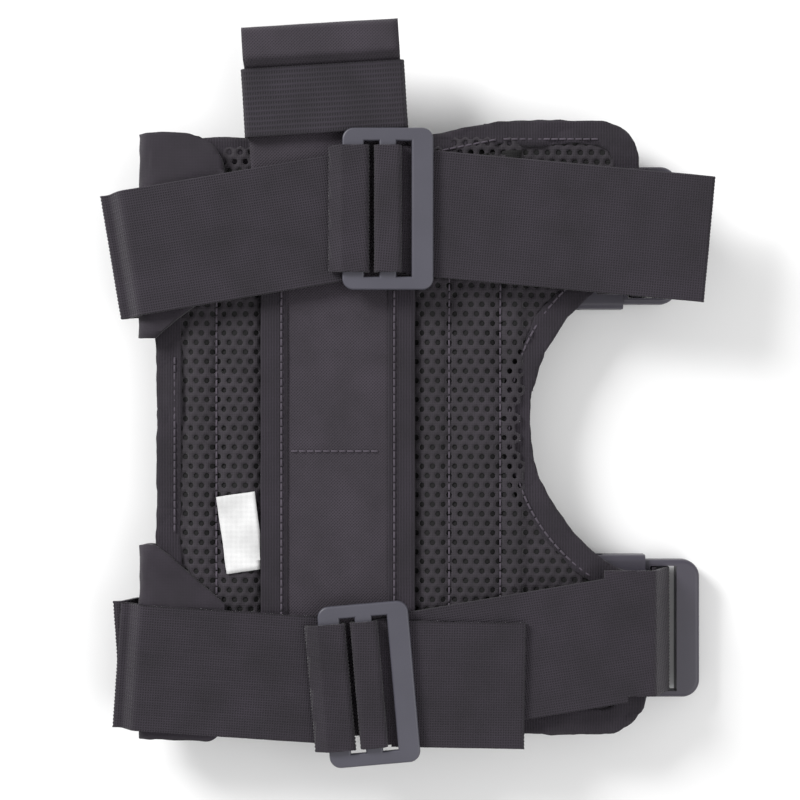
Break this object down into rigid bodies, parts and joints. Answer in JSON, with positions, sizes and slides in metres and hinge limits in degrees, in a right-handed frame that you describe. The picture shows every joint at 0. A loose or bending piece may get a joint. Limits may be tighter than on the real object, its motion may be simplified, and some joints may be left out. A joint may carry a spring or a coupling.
{
  "type": "kick shield",
  "caption": "Padded leg panel lying on its strike face, with a mesh lining, a side cut-out, a belt loop and buckled leg straps with sliders.",
  "frame": {"origin": "centre of the strike face that the part rests on", "axes": "+X across the leg towards the buckles, +Y up the leg towards the belt loop, +Z from the strike face to the mesh lining"},
  "size_m": [0.2449, 0.2965, 0.0371],
  "materials": {
    "foam": "closed-cell foam",
    "plate": "matte",
    "cover_fabric": "coated nylon",
    "air_mesh": "spacer mesh",
    "binding_tape": "ribbed tape",
    "wing_fabric": "nylon cloth",
    "spine_fabric": "twill",
    "hook_and_loop": "hook and loop",
    "elastic": "knitted elastic",
    "label_cloth": "white woven cloth",
    "hardware_plastic": "satin moulded",
    "webbing": "ribbed webbing"
  },
  "bodies": {
    "panel": {"back_fabric": "cover_fabric", "belt_flap": "spine_fabric", "care_label": "label_cloth", "edge_binding": "binding_tape", "hanger_strap": "spine_fabric", "hook_patch": "hook_and_loop", "impact_foam": "foam", "keeper_band": "elastic", "liner_foam": "foam", "loop_patch": "hook_and_loop", "lower_adjuster_strap": "webbing", "lower_anchor_strap": "webbing", "lower_buckle_socket": "hardware_plastic", "lower_buckle_tab": "webbing", "lower_left_wing": "wing_fabric", "lower_slider": "hardware_plastic", "lower_strap": "webbing", "mesh_lining": "air_mesh", "spine_binding_left": "binding_tape", "spine_binding_right": "binding_tape", "spine_panel": "spine_fabric", "stiffener_plate": "plate", "strike_cover": "cover_fabric", "upper_adjuster_strap": "webbing", "upper_anchor_strap": "webbing", "upper_buckle_socket": "hardware_plastic", "upper_buckle_tab": "webbing", "upper_left_wing": "wing_fabric", "upper_slider": "hardware_plastic", "upper_strap": "webbing"},
    "upper_plug": {"upper_bottom_prong": "hardware_plastic", "upper_buckle_plug": "hardware_plastic", "upper_top_prong": "hardware_plastic"},
    "lower_plug": {"lower_bottom_prong": "hardware_plastic", "lower_buckle_plug": "hardware_plastic", "lower_top_prong": "hardware_plastic"}
  },
  "joints": [
    {"name": "upper_buckle_release", "type": "slide", "parent": "panel", "child": "upper_plug", "axis": [1, 0, 0], "range_m": [0, 0.045], "deforming": ["upper_adjuster_strap", "upper_top_prong", "upper_bottom_prong"]},
    {"name": "lower_buckle_release", "type": "slide", "parent": "panel", "child": "lower_plug", "axis": [1, 0, 0], "range_m": [0, 0.045], "deforming": ["lower_adjuster_strap", "lower_top_prong", "lower_bottom_prong"]}
  ]
}
